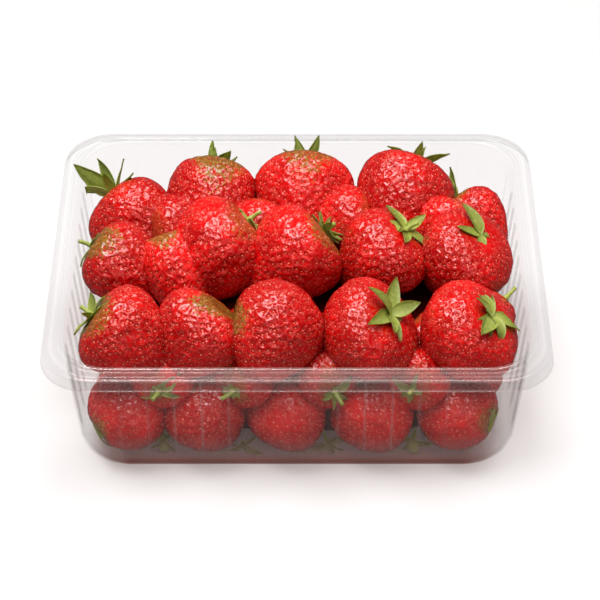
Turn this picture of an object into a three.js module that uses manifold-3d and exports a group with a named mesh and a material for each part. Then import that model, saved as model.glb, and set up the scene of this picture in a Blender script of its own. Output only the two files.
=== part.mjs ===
// A clear formed punnet with a rolled rim and ribbed walls, filled with two
// layers of strawberries. Millimetres, +Z up, standing on z = 0, with the
// origin under the middle of the tray and the long side along X.
import * as THREE from 'three';
import { mergeVertices } from 'three/addons/utils/BufferGeometryUtils.js';
import Module from 'manifold-3d';

// ---- Driving dimensions ----
// Tray: outer size over the skirt, and the formed sheet.
const TRAY_LENGTH = 187;
const TRAY_WIDTH = 150;
const RIM_HEIGHT = 59.5;
const SHEET = 0.6;

// Corner radius at the outer edge, and how much it shrinks per mm of inset.
const CORNER_RADIUS = 18;
const CORNER_TAPER = 0.12;
const CORNER_STEPS = 6;

// Rim: everything is an inset from the outer edge, or a drop from the top.
const SKIRT_FLARE = 0.8;
const SKIRT_DROP = 5.4;
const EDGE_DROP = 1.2;
const BEAD_OUTER = 2.4;
const BEAD_INNER = 4.6;
const BEAD_DROP = 0.3;
const BEAD_RUN = 0.6;
const VALLEY_INSET = 5.4;
const VALLEY_DROP = 0.9;
const CREST_INSET = 6.4;
const CREST_WIDTH = 0.8;
const MOUTH_INSET = 8.2;
const MOUTH_DROP = 1.6;
const MOUTH_ROUND = 0.6;

// Walls and base.
const WALL_DRAFT = 5;
const BASE_FILLET = 10;
const FILLET_STEPS = 4;
const FOOT_WIDTH = 9;
const PANEL_RISE = 1.4;
const PANEL_SLOPE = 3;

// Ribs pressed outward in the walls.
const RIB_PITCH = 10;
const RIB_HALF_WIDTH = 1.5;
const RIB_PROUD = 0.9;
const RIB_SINK = 0.42;
const RIB_BOTTOM = 13;
const RIB_TOP = 50;
const RIBS_ON_LONG_WALL = 14;
const RIBS_ON_SHORT_WALL = 10;
const CORNER_RIB_ANGLES = [22.5, 67.5];

// Strawberries: two layers of three rows, standing clear of the sheet.
const CLEARANCE = 0.5;
const BERRY_LENGTH_RATIO = 1.06;
const BERRY_SIDES = 9;
const BERRY_TURN = 2.4;
const BERRY_DIP = 0.5;
const LOWER_BERRY = 34;
const LOWER_COLUMNS = [-64, -35, -4, 29, 62];
const LOWER_ROWS = [-45, 0, 42];
const UPPER_ROWS = [
  { y: -39.5, z: 51, x: [-65.5, -35, -8.5, 27.5, 65], width: [34, 33, 35, 38, 38] },
  { y: 3, z: 54, x: [-69.5, -47, -27, 1.5, 35, 65.5], width: [31, 26, 37, 38, 35, 37] },
  { y: 39, z: 54, x: [-65.5, -33.5, 3.5, 43, 73], width: [36, 37, 39, 38, 25] },
];

// Solid middle that the berries are joined to.
const CORE_LENGTH = 134;
const CORE_WIDTH = 88;
const CORE_BOTTOM = 6;
const CORE_TOP = 44;

const manifold = await Module();
manifold.setup();

// ---- Joining and cutting ----
function toSolid(geometry) {
  const bare = geometry.clone();
  bare.deleteAttribute('normal');
  bare.deleteAttribute('uv');
  const merged = mergeVertices(bare, 1e-4);
  return new manifold.Manifold(new manifold.Mesh({
    numProp: 3,
    vertProperties: new Float32Array(merged.attributes.position.array),
    triVerts: new Uint32Array(merged.index.array),
  }));
}

function toGeometry(solid) {
  const mesh = solid.getMesh();
  const geometry = new THREE.BufferGeometry();
  const positions = new THREE.BufferAttribute(new Float32Array(mesh.vertProperties), 3);
  geometry.setAttribute('position', positions);
  geometry.setIndex(new THREE.BufferAttribute(new Uint32Array(mesh.triVerts), 1));
  geometry.computeVertexNormals();
  return geometry;
}

function joinAll(solids) {
  let layer = solids;
  while (layer.length > 1) {
    const next = [];
    for (let i = 0; i < layer.length; i += 2) {
      next.push(i + 1 < layer.length ? layer[i].add(layer[i + 1]) : layer[i]);
    }
    layer = next;
  }
  return layer[0];
}

// ---- Tray outline ----
// One ring of points round the tray at an inset from the outer edge. It runs
// anticlockwise, as a quarter circle at each corner.
function ring(inset, z) {
  const radius = CORNER_RADIUS - CORNER_TAPER * inset;
  const reachX = TRAY_LENGTH / 2 - inset - radius;
  const reachY = TRAY_WIDTH / 2 - inset - radius;
  const points = [];
  for (const [signX, signY, start] of [[1, -1, -90], [1, 1, 0], [-1, 1, 90], [-1, -1, 180]]) {
    for (let i = 0; i <= CORNER_STEPS; i += 1) {
      const angle = THREE.MathUtils.degToRad(start + (90 * i) / CORNER_STEPS);
      points.push(new THREE.Vector3(
        signX * reachX + radius * Math.cos(angle),
        signY * reachY + radius * Math.sin(angle),
        z,
      ));
    }
  }
  return points;
}

// The wall's inner face: its inset at a height, between the fillet and mouth.
function wallInset(z) {
  const top = RIM_HEIGHT - MOUTH_DROP;
  return MOUTH_INSET + (WALL_DRAFT * (top - z)) / (top - SHEET);
}

// The sheet's upper face from the skirt to the middle panel, as inset and z.
function upperProfile() {
  const top = RIM_HEIGHT;
  const profile = [
    [0, top - SKIRT_DROP],
    [SKIRT_FLARE, top - EDGE_DROP],
    [BEAD_OUTER - BEAD_RUN, top - EDGE_DROP + BEAD_DROP],
    [BEAD_OUTER, top - BEAD_DROP],
    [BEAD_INNER, top - BEAD_DROP],
    [VALLEY_INSET, top - VALLEY_DROP],
    [CREST_INSET, top],
    [CREST_INSET + CREST_WIDTH, top],
    [MOUTH_INSET - MOUTH_ROUND / 2, top - MOUTH_ROUND],
    [MOUTH_INSET, top - MOUTH_DROP],
  ];
  const filletTop = SHEET + BASE_FILLET;
  const start = wallInset(filletTop);
  for (let i = 0; i <= FILLET_STEPS; i += 1) {
    const angle = (Math.PI / 2) * (i / FILLET_STEPS);
    profile.push([
      start + BASE_FILLET * (1 - Math.cos(angle)),
      SHEET + BASE_FILLET * (1 - Math.sin(angle)),
    ]);
  }
  const footInner = start + BASE_FILLET + FOOT_WIDTH;
  profile.push([footInner, SHEET]);
  profile.push([footInner + PANEL_SLOPE, SHEET + PANEL_RISE]);
  return profile;
}

// The same profile moved one sheet thickness to the under side. The foot and
// the middle panel move straight down, so that the tray stands on a true plane.
function lowerProfile(profile) {
  return profile.map(([inset, z], i) => {
    const [beforeInset, beforeZ] = profile[Math.max(i - 1, 0)];
    const [afterInset, afterZ] = profile[Math.min(i + 1, profile.length - 1)];
    const along = new THREE.Vector2(afterInset - beforeInset, afterZ - beforeZ).normalize();
    const onBase = z < SHEET + 1e-6 || i === profile.length - 1;
    const offset = onBase ? new THREE.Vector2(0, -1) : new THREE.Vector2(along.y, -along.x);
    return [inset + SHEET * offset.x, z + SHEET * offset.y];
  });
}

// A closed skin over a list of rings, with a flat cap on the two end rings.
function skinOverRings(rings) {
  const count = rings[0].length;
  const positions = rings.flat().flatMap((p) => [p.x, p.y, p.z]);
  const index = [];
  for (let r = 0; r + 1 < rings.length; r += 1) {
    for (let i = 0; i < count; i += 1) {
      const a = r * count + i;
      const b = r * count + ((i + 1) % count);
      index.push(a, b, b + count, a, b + count, a + count);
    }
  }
  for (const [ringIndex, flip] of [[0, true], [rings.length - 1, false]]) {
    const centre = positions.length / 3;
    positions.push(0, 0, rings[ringIndex][0].z);
    for (let i = 0; i < count; i += 1) {
      const a = ringIndex * count + i;
      const b = ringIndex * count + ((i + 1) % count);
      index.push(centre, flip ? b : a, flip ? a : b);
    }
  }
  const geometry = new THREE.BufferGeometry();
  geometry.setAttribute('position', new THREE.Float32BufferAttribute(positions, 3));
  geometry.setIndex(index);
  return geometry;
}

function traySheet() {
  const upper = upperProfile();
  const lower = lowerProfile(upper);
  lower[0] = [SHEET, upper[0][1]];
  const outside = [...lower].reverse().map(([inset, z]) => ring(inset, z));
  const inside = upper.map(([inset, z]) => ring(inset, z));
  return toSolid(skinOverRings([...outside, ...inside]));
}

// ---- Ribs ----
// One upright rib: a flattened capsule leaning with the wall, centred on the
// outer face so that it stands proud outside and not inside.
function rib(foot, head, outward) {
  const axis = head.clone().sub(foot);
  const geometry = new THREE.CapsuleGeometry(1, axis.length(), 1, 6);
  const up = axis.clone().normalize();
  const out = outward.clone().addScaledVector(up, -outward.dot(up)).normalize();
  const side = new THREE.Vector3().crossVectors(up, out);
  const place = new THREE.Matrix4().makeBasis(side, up, out);
  place.multiply(new THREE.Matrix4().makeScale(RIB_HALF_WIDTH, 1, RIB_PROUD));
  const middle = foot.clone().add(head).multiplyScalar(0.5);
  place.setPosition(middle.addScaledVector(out, RIB_SINK));
  geometry.applyMatrix4(place);
  return toSolid(geometry);
}

// A rib on the straight or round wall, given where it stands on the outline.
function ribAt(position) {
  const foot = position(wallInset(RIB_BOTTOM), RIB_BOTTOM);
  const head = position(wallInset(RIB_TOP), RIB_TOP);
  return rib(foot.point, head.point, foot.outward);
}

function longWallRibs() {
  const ribs = [];
  for (const sign of [-1, 1]) {
    for (let i = 0; i < RIBS_ON_LONG_WALL; i += 1) {
      const x = RIB_PITCH * (i - (RIBS_ON_LONG_WALL - 1) / 2);
      ribs.push(ribAt((inset, z) => ({
        point: new THREE.Vector3(x, sign * (TRAY_WIDTH / 2 - inset), z),
        outward: new THREE.Vector3(0, sign, 0),
      })));
    }
  }
  return ribs;
}

function shortWallRibs() {
  const ribs = [];
  for (const sign of [-1, 1]) {
    for (let i = 0; i < RIBS_ON_SHORT_WALL; i += 1) {
      const y = RIB_PITCH * (i - (RIBS_ON_SHORT_WALL - 1) / 2);
      ribs.push(ribAt((inset, z) => ({
        point: new THREE.Vector3(sign * (TRAY_LENGTH / 2 - inset), y, z),
        outward: new THREE.Vector3(sign, 0, 0),
      })));
    }
  }
  return ribs;
}

function cornerRibs() {
  const ribs = [];
  for (const signX of [-1, 1]) {
    for (const signY of [-1, 1]) {
      for (const degrees of CORNER_RIB_ANGLES) {
        const angle = THREE.MathUtils.degToRad(degrees);
        const outward = new THREE.Vector3(signX * Math.cos(angle), signY * Math.sin(angle), 0);
        ribs.push(ribAt((inset, z) => {
          const radius = CORNER_RADIUS - CORNER_TAPER * inset;
          const centre = new THREE.Vector3(
            signX * (TRAY_LENGTH / 2 - inset - radius),
            signY * (TRAY_WIDTH / 2 - inset - radius),
            z,
          );
          return { point: centre.addScaledVector(outward, radius), outward };
        }));
      }
    }
  }
  return ribs;
}

function tray() {
  const ribs = [...longWallRibs(), ...shortWallRibs(), ...cornerRibs()];
  return joinAll([traySheet(), ...ribs]);
}

// ---- Strawberries ----
// Half of a berry's section from its stalk end to its tip, as shares of the
// radius and of the length.
const BERRY_SECTION = [
  [0, 0.46], [0.55, 0.47], [0.93, 0.27], [1, 0.05], [0.84, -0.2], [0.5, -0.42], [0, -0.52],
];

// One berry: broad shoulders at the stalk end, tapering to a blunt tip, with
// its middle at the given point and its tip turned to a heading.
function berry(centre, width, heading, dip) {
  const length = width * BERRY_LENGTH_RATIO;
  const radius = width / 2;
  const profile = BERRY_SECTION.map(([r, h]) => new THREE.Vector2(r * radius, -h * length));
  const geometry = new THREE.LatheGeometry(profile, BERRY_SIDES);
  geometry.rotateX(-Math.PI / 2 + dip);
  geometry.rotateZ(heading);
  geometry.translate(centre.x, centre.y, centre.z);
  return toSolid(geometry);
}

// Turns the berries one after another, so that no two neighbours match.
function turned(index) {
  return { heading: index * BERRY_TURN, dip: BERRY_DIP * Math.sin(index * 1.7) };
}

function lowerBerries() {
  const berries = [];
  const z = SHEET + PANEL_RISE + CLEARANCE + LOWER_BERRY / 2;
  for (const y of LOWER_ROWS) {
    for (const x of LOWER_COLUMNS) {
      const { heading, dip } = turned(berries.length);
      berries.push(berry(new THREE.Vector3(x, y, z), LOWER_BERRY, heading, dip));
    }
  }
  return berries;
}

function upperBerries() {
  const berries = [];
  for (const row of UPPER_ROWS) {
    row.x.forEach((x, i) => {
      const { heading, dip } = turned(berries.length + 4);
      berries.push(berry(new THREE.Vector3(x, row.y, row.z), row.width[i], heading, dip));
    });
  }
  return berries;
}

function heapCore() {
  const geometry = new THREE.BoxGeometry(CORE_LENGTH, CORE_WIDTH, CORE_TOP - CORE_BOTTOM);
  geometry.translate(0, 0, (CORE_TOP + CORE_BOTTOM) / 2);
  return toSolid(geometry);
}

// The room inside the tray, kept off the sheet: it trims the heap's sides.
function trayRoom() {
  const footInset = wallInset(SHEET + BASE_FILLET) + BASE_FILLET;
  const sections = [
    [footInset + FOOT_WIDTH, SHEET + PANEL_RISE + CLEARANCE],
    [footInset - BASE_FILLET * 0.6, SHEET + BASE_FILLET * 0.45],
    [wallInset(BASE_FILLET) + CLEARANCE + 0.4, SHEET + BASE_FILLET + CLEARANCE],
    [MOUTH_INSET + CLEARANCE + 0.4, RIM_HEIGHT - MOUTH_DROP],
    [MOUTH_INSET + CLEARANCE + 0.4, RIM_HEIGHT * 2],
  ];
  const rings = sections.map(([inset, z]) => ring(inset, z));
  return toSolid(skinOverRings(rings));
}

function strawberries() {
  const heap = joinAll([heapCore(), ...lowerBerries(), ...upperBerries()]);
  return heap.intersect(trayRoom());
}

// ---- The object ----
function namedMesh(name, solid, colour, roughness, opacity = 1) {
  const material = new THREE.MeshStandardMaterial({
    color: colour,
    roughness,
    metalness: 0,
    transparent: opacity < 1,
    opacity,
  });
  const mesh = new THREE.Mesh(toGeometry(solid), material);
  mesh.name = name;
  return mesh;
}

const punnet = new THREE.Group();
punnet.add(namedMesh('tray', tray(), 0xeef2f3, 0.08, 0.3));
punnet.add(namedMesh('strawberries', strawberries(), 0xb81218, 0.3));

export default punnet;
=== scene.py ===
# %% [markdown]
# # A punnet of strawberries
# A clear formed tray holds two layers of ripe strawberries. The CAD frame
# gives the tray's size and the outline of the heap. This script loads that
# frame, then builds the fine tray, the berries, their seeds and their leaves
# around it, in metres, and gives each of them a finish.

# %% Load the frame
import math

import bpy
import numpy as np
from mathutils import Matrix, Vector


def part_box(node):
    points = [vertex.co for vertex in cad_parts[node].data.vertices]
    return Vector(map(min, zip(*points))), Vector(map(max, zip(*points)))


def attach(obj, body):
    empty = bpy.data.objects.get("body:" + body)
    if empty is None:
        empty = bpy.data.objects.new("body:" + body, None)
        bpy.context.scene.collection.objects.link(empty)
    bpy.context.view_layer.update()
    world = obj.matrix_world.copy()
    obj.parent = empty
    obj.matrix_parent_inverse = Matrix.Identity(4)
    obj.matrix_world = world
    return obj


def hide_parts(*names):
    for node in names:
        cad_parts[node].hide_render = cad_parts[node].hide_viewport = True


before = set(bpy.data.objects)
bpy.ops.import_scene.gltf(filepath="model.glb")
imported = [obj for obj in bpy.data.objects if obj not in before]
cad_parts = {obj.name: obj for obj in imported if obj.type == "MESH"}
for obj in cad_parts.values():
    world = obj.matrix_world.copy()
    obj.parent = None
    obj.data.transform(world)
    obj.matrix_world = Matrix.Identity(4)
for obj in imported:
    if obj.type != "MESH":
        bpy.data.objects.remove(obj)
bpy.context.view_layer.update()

MM = 0.001
tray_low, tray_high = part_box("tray")
TRAY_LENGTH = (tray_high.x - tray_low.x) / MM
TRAY_WIDTH = (tray_high.y - tray_low.y) / MM
RIM_HEIGHT = tray_high.z / MM
print(f"tray {TRAY_LENGTH:.1f} x {TRAY_WIDTH:.1f} x {RIM_HEIGHT:.1f} mm")

# %% [markdown]
# ## Camera
# The tray is seen from the front and above, through a long lens that keeps
# its sides nearly parallel. The camera is placed by its distance and its
# height angle from a point inside the tray, so both can be read off here.

# %% Camera
VIEW_ELEVATION = math.radians(40.8)
VIEW_DISTANCE = 904 * MM
VIEW_TARGET = Vector((1.1 * MM, 0.0, (RIM_HEIGHT - 26.5) * MM))
LENS_MM = 139.5

camera_data = bpy.data.cameras.new("camera")
camera_data.lens = LENS_MM
camera_data.sensor_width = 36.0
camera_data.clip_start = 0.01
camera = bpy.data.objects.new("camera", camera_data)
bpy.context.scene.collection.objects.link(camera)
towards = Vector((0, math.cos(VIEW_ELEVATION), -math.sin(VIEW_ELEVATION)))
camera.location = VIEW_TARGET - towards * VIEW_DISTANCE
camera.rotation_euler = towards.to_track_quat("-Z", "Y").to_euler()
bpy.context.scene.camera = camera
print(f"camera at {tuple(round(c, 3) for c in camera.location)}")

# %% [markdown]
# ## Shader expressions
# Node trees are easier to read as sums. A small class wraps a socket, so that
# `0.2 + 0.5 * noise` adds the Math nodes by itself. Colours are blended with
# Mix nodes, and every other node comes from one method.


# %% A socket that can be added and multiplied
class Value:
    """One output socket of a node tree, with arithmetic that adds Math nodes."""

    def __init__(self, shader, socket):
        self.shader = shader
        self.socket = socket

    def _math(self, operation, *inputs, clamp=False):
        settings = {"operation": operation, "use_clamp": clamp}
        return self.shader.node("ShaderNodeMath", settings, dict(enumerate(inputs)))

    def __add__(self, other):
        return self._math("ADD", self, other)

    def __radd__(self, other):
        return self._math("ADD", other, self)

    def __sub__(self, other):
        return self._math("SUBTRACT", self, other)

    def __rsub__(self, other):
        return self._math("SUBTRACT", other, self)

    def __mul__(self, other):
        return self._math("MULTIPLY", self, other)

    def __rmul__(self, other):
        return self._math("MULTIPLY", other, self)

    def __pow__(self, other):
        return self._math("POWER", self, other)

    def size(self):
        return self._math("ABSOLUTE", self)

    def clamped(self):
        return self._math("ADD", self, 0.0, clamp=True)


class Shader:
    """One material and the nodes that make it."""

    def __init__(self, name):
        self.material = bpy.data.materials.new(name)
        self.material.use_nodes = True
        self.tree = self.material.node_tree
        self.tree.nodes.clear()

    def node(self, kind, settings=None, inputs=None, output=0):
        made = self.tree.nodes.new(kind)
        for key, value in (settings or {}).items():
            setattr(made, key, value)
        for key, value in (inputs or {}).items():
            self.feed(made.inputs[key], value)
        return Value(self, made.outputs[output])

    def feed(self, socket, value):
        if isinstance(value, Value):
            self.tree.links.new(value.socket, socket)
        elif hasattr(socket.default_value, "__len__") and len(value) == 3:
            wanted = len(socket.default_value)
            socket.default_value = (*value, 1.0)[:wanted]
        else:
            socket.default_value = value

    def attribute(self, name):
        return self.node("ShaderNodeAttribute", {"attribute_name": name}, output="Fac")

    def noise(self, scale, detail, roughness=0.5):
        place = self.node("ShaderNodeTexCoord", output="Object")
        inputs = {"Vector": place, "Scale": scale, "Detail": detail, "Roughness": roughness}
        return self.node("ShaderNodeTexNoise", {}, inputs, output="Fac")

    def between(self, value, low, high):
        """The value as 0 at low and 1 at high, smoothly."""
        settings = {"interpolation_type": "SMOOTHSTEP"}
        inputs = {"Value": value, "From Min": low, "From Max": high}
        return self.node("ShaderNodeMapRange", settings, inputs, output="Result")

    def blend(self, amount, first, second):
        """A colour that goes from first to second as amount goes from 0 to 1."""
        inputs = {0: amount, 6: first, 7: second}
        return self.node("ShaderNodeMix", {"data_type": "RGBA"}, inputs, output=2)

    def bump(self, height, distance, strength=1.0):
        inputs = {"Height": height, "Distance": distance, "Strength": strength}
        return self.node("ShaderNodeBump", {}, inputs, output="Normal")

    def finish(self, inputs):
        """Ends the tree with a Principled surface that takes these inputs."""
        surface = self.node("ShaderNodeBsdfPrincipled", {}, inputs, output="BSDF")
        end = self.tree.nodes.new("ShaderNodeOutputMaterial")
        self.tree.links.new(surface.socket, end.inputs["Surface"])
        return self.material


# %% [markdown]
# ## Meshes
# Every piece is built from arrays of points and faces. One helper makes the
# object, shades it smooth, and stores numbers for the finish on its points.


# %% From arrays to an object
def make_object(name, points_mm, faces, attributes=None, smooth=True):
    mesh = bpy.data.meshes.new(name)
    mesh.from_pydata((np.asarray(points_mm) * MM).tolist(), [], faces.tolist())
    mesh.validate()
    mesh.polygons.foreach_set("use_smooth", [smooth] * len(mesh.polygons))
    for key, values in (attributes or {}).items():
        layer = mesh.attributes.new(key, "FLOAT", "POINT")
        layer.data.foreach_set("value", np.asarray(values, np.float32))
    mesh.update()
    made = bpy.data.objects.new(name, mesh)
    bpy.context.scene.collection.objects.link(made)
    return made


def join_parts(parts):
    """Many (points, faces, attributes) as one, with the faces renumbered."""
    points, faces, attributes, start = [], [], {}, 0
    for part_points, part_faces, part_attributes in parts:
        points.append(part_points)
        faces.append(part_faces + start)
        start += len(part_points)
        for key, values in part_attributes.items():
            attributes.setdefault(key, []).append(values)
    joined = {key: np.concatenate(values) for key, values in attributes.items()}
    return np.concatenate(points), np.concatenate(faces), joined


def unit(vectors):
    """The same directions, each of length 1."""
    return vectors / np.maximum(np.linalg.norm(vectors, axis=1), 1e-9)[:, None]


def as_triangles(quads):
    """Every face of four corners as two of three."""
    return np.concatenate([quads[:, [0, 1, 2]], quads[:, [0, 2, 3]]])


def point_normals(points, faces):
    corners = points[faces[:, :3]]
    flat = np.cross(corners[:, 1] - corners[:, 0], corners[:, 2] - corners[:, 0])
    normals = np.zeros_like(points)
    for corner in range(faces.shape[1]):
        np.add.at(normals, faces[:, corner], flat)
    return unit(normals)


# %% [markdown]
# ## The tray
# The real tray is one clear sheet, sucked down over a mould. So its shape is
# a single section, carried round a rounded rectangle: skirt, rolled edge,
# bead, mouth, leaning wall, fillet and foot. The same section moved by the
# sheet's thickness is its other face. Between the ribs the wall needs few
# points, and across a rib many, so the outline is stepped unevenly.

# %% The tray's sizes, in millimetres
SHEET = 0.5
CORNER_RADIUS = 18.0
CORNER_TAPER = 0.12
SKIRT_FLARE, SKIRT_DROP = 0.8, 5.4
EDGE_DROP = 1.2
BEAD_OUTER, BEAD_INNER, BEAD_DROP = 2.4, 4.6, 0.3
VALLEY_INSET, VALLEY_DROP = 5.4, 0.9
CREST_INSET = 6.4
MOUTH_INSET, MOUTH_DROP = 8.2, 1.6
WALL_DRAFT = 5.0
BASE_FILLET = 10.0
FOOT_WIDTH = 9.0
PANEL_RISE, PANEL_SLOPE = 1.4, 3.0
RIB_PITCH, RIB_HALF_WIDTH, RIB_PROUD = 10.0, 1.0, 0.8
RIB_BOTTOM, RIB_TOP, RIB_END = 9.0, 52.0, 3.0
RIBS_LONG, RIBS_SHORT = 14, 10
CORNER_RIB_ANGLES = (22.5, 67.5)
CORNER_STEP = 6.0
RIB_STEPS = 7


def wall_inset(z):
    top = RIM_HEIGHT - MOUTH_DROP
    return MOUTH_INSET + WALL_DRAFT * (top - z) / (top - SHEET)


# %% The section of the sheet, as inset and height
def smooth_path(knots, per_span):
    """A rounded path through the knots, as a Catmull-Rom curve."""
    knots = np.asarray(knots, float)
    padded = np.vstack([2 * knots[0] - knots[1], knots, 2 * knots[-1] - knots[-2]])
    path = []
    for i in range(1, len(padded) - 2):
        before, start, end, after = padded[i - 1:i + 3]
        for t in np.linspace(0, 1, per_span, endpoint=False):
            path.append(0.5 * (2 * start + (end - before) * t
                        + (2 * before - 5 * start + 4 * end - after) * t * t
                        + (3 * start - before - 3 * end + after) * t ** 3))
    path.append(padded[-2])
    return np.array(path)


def tray_section():
    top = RIM_HEIGHT
    rim = smooth_path([
        (0.0, top - SKIRT_DROP),
        (SKIRT_FLARE * 0.7, top - SKIRT_DROP * 0.5),
        (SKIRT_FLARE, top - EDGE_DROP - 0.5),
        (SKIRT_FLARE + 0.5, top - EDGE_DROP + 0.1),
        (BEAD_OUTER - 0.5, top - EDGE_DROP + 0.2),
        (BEAD_OUTER + 0.1, top - BEAD_DROP - 0.15),
        ((BEAD_OUTER + BEAD_INNER) / 2, top - BEAD_DROP),
        (BEAD_INNER - 0.1, top - BEAD_DROP - 0.1),
        (VALLEY_INSET, top - VALLEY_DROP),
        (CREST_INSET, top - 0.05),
        (CREST_INSET + 0.9, top - 0.12),
        (MOUTH_INSET - 0.2, top - MOUTH_DROP * 0.6),
        (MOUTH_INSET, top - MOUTH_DROP),
    ], 3)
    wall_heights = np.concatenate([
        np.linspace(RIB_TOP + 2, RIB_TOP - RIB_END, 8),
        np.linspace(RIB_TOP - RIB_END, RIB_BOTTOM + RIB_END, 5)[1:],
    ])
    filleted = SHEET + BASE_FILLET
    wall_heights = wall_heights[wall_heights > filleted + 0.5]
    wall = np.array([(wall_inset(z), z) for z in wall_heights])
    start = wall_inset(filleted)
    angles = np.radians(np.linspace(0, 90, 9))
    fillet = np.stack([
        start + BASE_FILLET * (1 - np.cos(angles)),
        SHEET + BASE_FILLET * (1 - np.sin(angles)),
    ], 1)
    foot_end = start + BASE_FILLET + FOOT_WIDTH
    foot = np.array([
        (foot_end, SHEET),
        (foot_end + PANEL_SLOPE * 0.5, SHEET + PANEL_RISE * 0.5),
        (foot_end + PANEL_SLOPE, SHEET + PANEL_RISE),
        (foot_end + PANEL_SLOPE + 14, SHEET + PANEL_RISE),
    ])
    return np.concatenate([rim, wall, fillet, foot])


section = tray_section()
print(f"tray section of {len(section)} points")


# %% The outline of the tray, with a denser step across each rib
def straight_stations(length, ribs):
    """Places along a straight wall, from its middle, and how deep in a rib."""
    profile = np.linspace(-1, 1, RIB_STEPS)
    centres = RIB_PITCH * (np.arange(ribs) - (ribs - 1) / 2)
    places, depth = [-length / 2], [0.0]
    for centre in centres:
        places.extend(centre + profile * RIB_HALF_WIDTH)
        depth.extend(0.5 + 0.5 * np.cos(np.pi * profile))
    return np.array(places), np.array(depth)


def corner_stations():
    """Angles round a corner, in degrees, and how deep in a rib."""
    half = math.degrees(RIB_HALF_WIDTH / (CORNER_RADIUS - 2))
    even = np.arange(0.0, 90.0, CORNER_STEP)
    across = [centre + np.linspace(-1, 1, RIB_STEPS) * half for centre in CORNER_RIB_ANGLES]
    angles = np.sort(np.concatenate([even, *across]))
    nearest = np.abs(angles[:, None] - np.array(CORNER_RIB_ANGLES)).min(1)
    return angles, 0.5 + 0.5 * np.cos(np.pi * np.clip(nearest / half, 0, 1))


def outline_stations():
    """Every station round the tray: its side or corner, its place, its depth."""
    stations = []
    corner_angles, corner_depth = corner_stations()
    for turn, (reach_long, ribs) in enumerate(
            [(False, RIBS_SHORT), (True, RIBS_LONG)] * 2):
        span = (TRAY_LENGTH if reach_long else TRAY_WIDTH) - 2 * CORNER_RADIUS
        places, depth = straight_stations(span, ribs)
        stations += [("side", turn, p, d) for p, d in zip(places, depth)]
        stations += [("corner", turn, a, d) for a, d in zip(corner_angles, corner_depth)]
    return stations


def ring_points(inset, z, push):
    """The outline at one inset and height, pushed outward at the ribs."""
    radius = CORNER_RADIUS - CORNER_TAPER * inset
    half_x, half_y = TRAY_LENGTH / 2 - inset, TRAY_WIDTH / 2 - inset
    points = np.empty((len(STATIONS), 3))
    for i, (kind, turn, place, depth) in enumerate(STATIONS):
        heading = turn * math.pi / 2
        reach, across = (half_x, half_y) if turn % 2 == 0 else (half_y, half_x)
        out = push * depth
        if kind == "side":
            limit = across - radius
            local = (reach + out, max(-limit, min(limit, place)))
        else:
            angle = math.radians(place)
            local = (reach - radius + (radius + out) * math.cos(angle),
                     across - radius + (radius + out) * math.sin(angle))
        cos, sin = math.cos(heading), math.sin(heading)
        points[i] = (local[0] * cos - local[1] * sin, local[0] * sin + local[1] * cos, z)
    return points


STATIONS = outline_stations()
print(f"tray outline of {len(STATIONS)} stations")


# %% The ribs, and how they differ from one another
RIB_CREST_MEAN, RIB_CREST_SWING, RIB_CREST_STEP = 0.55, 0.45, 0.13


def rib_push(z):
    """How far a rib stands out at a height: full along it, none past its ends."""
    if not RIB_BOTTOM < z < RIB_TOP:
        return 0.0
    near_end = min(z - RIB_BOTTOM, RIB_TOP - z, RIB_END) / RIB_END
    return RIB_PROUD * math.sin(near_end * math.pi / 2)


def rib_crests():
    """How near each station is to the crest of a rib. Some ribs show more."""
    depth = np.array([station[3] for station in STATIONS])
    swing = np.sin(RIB_CREST_STEP * np.arange(len(depth)))
    return depth ** 2 * (RIB_CREST_MEAN + RIB_CREST_SWING * swing)


# %% Where the sheet looks denser, and where its painted veil changes: at its bends, before the fruit and at its foot
CREASE_SOFT, CREASE_RANGE = 0.3, 0.8
END_RIB_CREASE, BEAD_CREASE = 0.2, 0.3
FOOT_FADE_Z, FOOT_FADE_X = (14.0, 6.0), (80.0, 64.0)
FRONT_FADE_Y, FRONT_FADE_X = (-45.0, -60.0), (84.0, 76.0)
END_FADE_X, END_FADE_Y, END_FADE_Z = (78.0, 82.0), (60.0, 50.0), (52.0, 48.0)
END_VEIL = 0.5


def fade(values, none, full):
    """0 at none, 1 at full, and straight between them."""
    return np.clip((values - none) / (full - none), 0, 1)


def section_crease(rows):
    """How sharply the sheet bends along its section, from 0 to 1."""
    steps = np.diff(rows, axis=0)
    heading = np.unwrap(np.arctan2(steps[:, 1], steps[:, 0]))
    lengths = np.linalg.norm(steps, axis=1)
    bend = np.abs(np.diff(heading)) / np.maximum((lengths[1:] + lengths[:-1]) / 2, 0.1)
    return np.concatenate([[0], np.clip((bend - CREASE_SOFT) / CREASE_RANGE, 0, 1), [0]])


def on_bead(rows):
    """Whether each row of the section belongs to the bead of the rim."""
    across = (rows[:, 0] > BEAD_OUTER - 0.8) & (rows[:, 0] < CREST_INSET - 0.2)
    return across & (rows[:, 1] > RIM_HEIGHT - 3)


def under_fruit(points):
    """1 on the foot of the sheet, painted dark red: the fruit above mirrored in it, and the
    shade under it.
    """
    return fade(points[:, 2], *FOOT_FADE_Z) * fade(np.abs(points[:, 0]), *FOOT_FADE_X)


def before_fruit(points):
    """1 on the front wall, where berries lie behind it, and half on the end walls; there the
    veil is painted lighter and pink.
    """
    x, y, z = np.abs(points[:, 0]), points[:, 1], points[:, 2]
    front = fade(y, *FRONT_FADE_Y) * fade(x, *FRONT_FADE_X)
    end = fade(x, *END_FADE_X) * fade(z, *END_FADE_Z) * fade(np.abs(y), *END_FADE_Y)
    return np.maximum(front, END_VEIL * end)


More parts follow.
